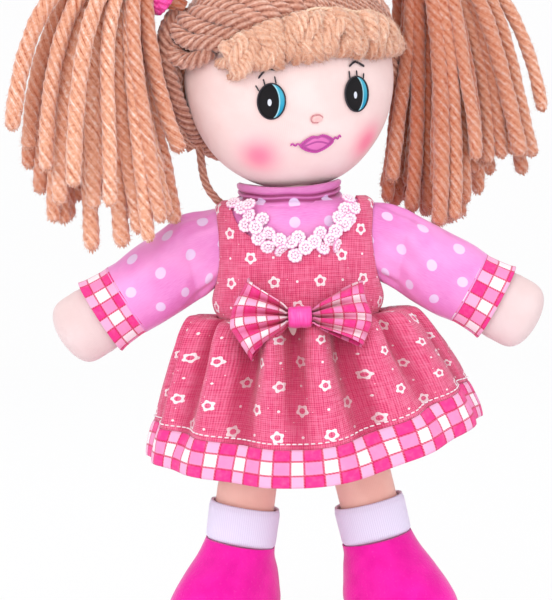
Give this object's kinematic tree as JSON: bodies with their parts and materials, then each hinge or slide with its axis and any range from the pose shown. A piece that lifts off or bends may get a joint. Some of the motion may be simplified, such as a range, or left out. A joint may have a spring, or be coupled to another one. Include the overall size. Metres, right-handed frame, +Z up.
{
  "type": "rag doll",
  "caption": "Standing stuffed cloth doll with yarn pigtails, a gathered dress over a satin blouse, and a head, arms, legs and hair that move.",
  "frame": {"origin": "on the floor under the middle of the neck, at the middle of the doll's stance", "axes": "+Z up from the soles to the crown, -Y to the front of the body, +X to the doll's own left"},
  "size_m": [0.2681, 0.1185, 0.3483],
  "materials": {
    "skin_cloth": "fine stretch jersey, pale peach",
    "hair_yarn": "thick plied wool yarn, strawberry blond",
    "ribbon_satin": "glossy hot pink satin ribbon",
    "eye_thread": "satin stitch embroidery, black with turquoise and white",
    "lip_thread": "satin stitch embroidery, magenta pink",
    "dotted_satin": "shiny orchid pink satin with pale dots",
    "dress_linen": "coral pink plain weave printed with small white flowers",
    "gingham": "pink and white checked cotton",
    "lace_thread": "white cotton crochet",
    "sock_knit": "fine white rib knit",
    "shoe_felt": "hot magenta short pile felt"
  },
  "bodies": {
    "torso": {"torso": "skin_cloth", "blouse": "dotted_satin", "collar": "dotted_satin", "dress_bodice": "dress_linen", "dress_skirt": "dress_linen", "hem_band": "gingham", "lace_trim": "lace_thread", "bow": "gingham", "bow_knot": "ribbon_satin"},
    "neck": {"neck": "skin_cloth"},
    "head": {"head": "skin_cloth", "hair_cap": "hair_yarn", "fringe": "hair_yarn", "eye_right": "eye_thread", "eye_left": "eye_thread", "nose": "lip_thread", "mouth": "lip_thread"},
    "pigtail_right": {"pigtail_right": "hair_yarn", "hair_tie_right": "ribbon_satin"},
    "pigtail_left": {"pigtail_left": "hair_yarn", "hair_tie_left": "ribbon_satin"},
    "arm_right": {"arm_right": "skin_cloth", "sleeve_right": "dotted_satin", "cuff_right": "gingham"},
    "arm_left": {"arm_left": "skin_cloth", "sleeve_left": "dotted_satin", "cuff_left": "gingham"},
    "leg_right": {"leg_right": "skin_cloth", "sock_right": "sock_knit", "shoe_right": "shoe_felt", "sole_right": "shoe_felt"},
    "leg_left": {"leg_left": "skin_cloth", "sock_left": "sock_knit", "shoe_left": "shoe_felt", "sole_left": "shoe_felt"}
  },
  "joints": [
    {"name": "head_turn", "type": "hinge", "parent": "torso", "child": "neck", "pos_m": [0, 0, 0.228], "axis": [0, 0, 1], "range_deg": [-60, 25]},
    {"name": "head_nod", "type": "hinge", "parent": "neck", "child": "head", "pos_m": [0, 0, 0.228], "axis": [0.9455, 0.3256, 0], "range_deg": [-10, 14]},
    {"name": "pigtail_right_swing", "type": "hinge", "parent": "head", "child": "pigtail_right", "pos_m": [-0.05404, -0.01861, 0.31916], "axis": [-0.3256, 0.9455, 0], "range_deg": [0, 60]},
    {"name": "pigtail_left_swing", "type": "hinge", "parent": "head", "child": "pigtail_left", "pos_m": [0.04944, 0.01702, 0.32548], "axis": [0.3256, -0.9455, 0], "range_deg": [0, 60]},
    {"name": "shoulder_right", "type": "hinge", "parent": "torso", "child": "arm_right", "pos_m": [-0.0436, 0, 0.198], "axis": [0, 0, 1], "range_deg": [-40, 60]},
    {"name": "shoulder_left", "type": "hinge", "parent": "torso", "child": "arm_left", "pos_m": [0.0436, 0, 0.198], "axis": [0, 0, -1], "range_deg": [-40, 60]},
    {"name": "hip_right", "type": "hinge", "parent": "torso", "child": "leg_right", "pos_m": [-0.025, 0, 0.103], "axis": [-1, 0, 0], "range_deg": [-25, 40]},
    {"name": "hip_left", "type": "hinge", "parent": "torso", "child": "leg_left", "pos_m": [0.025, 0, 0.103], "axis": [-1, 0, 0], "range_deg": [-25, 40]}
  ]
}
